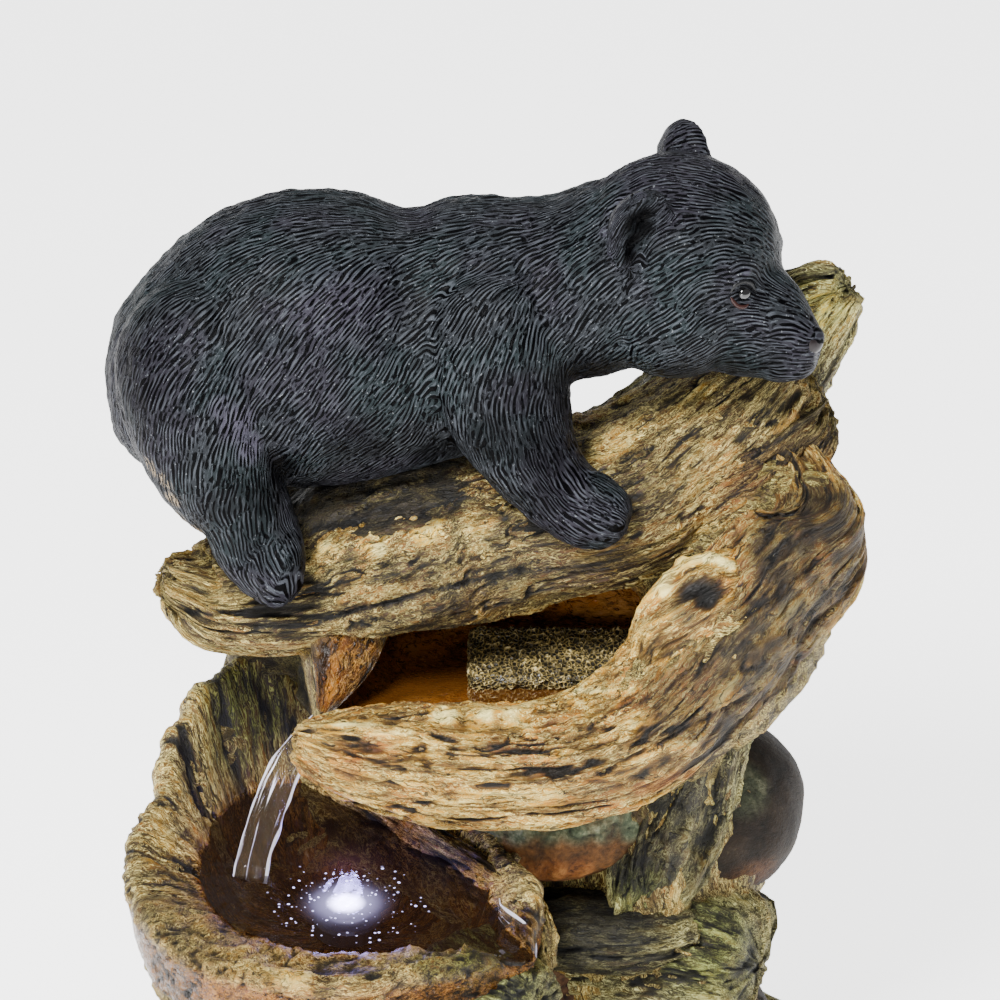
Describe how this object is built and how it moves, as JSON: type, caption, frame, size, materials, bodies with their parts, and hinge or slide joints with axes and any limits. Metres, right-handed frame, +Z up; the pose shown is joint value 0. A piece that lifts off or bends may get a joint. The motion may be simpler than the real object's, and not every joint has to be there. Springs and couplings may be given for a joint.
{
  "type": "bear garden fountain",
  "caption": "Garden fountain: a black bear stands on a hollow log that spills into a lit log bowl and a low log-rimmed basin.",
  "frame": {"origin": "on the flat underside, under the logs, behind the catch basin's middle", "axes": "+Z up, the front with the bowls faces -Y, the bear's head is towards +X"},
  "size_m": [0.4387, 0.4082, 0.557],
  "materials": {
    "bear": "painted cast resin, carved fur, drybrushed grey",
    "casting": "painted cast resin, carved bark and stone, washed dark in the grooves",
    "lamp": "clear domed lens on a sealed puck",
    "foam": "open-cell filter foam, wet and stained"
  },
  "bodies": {
    "root": {"bear": "bear", "fountain_body": "casting", "bowl_lamp": "lamp", "splash_foam": "foam"}
  },
  "joints": []
}
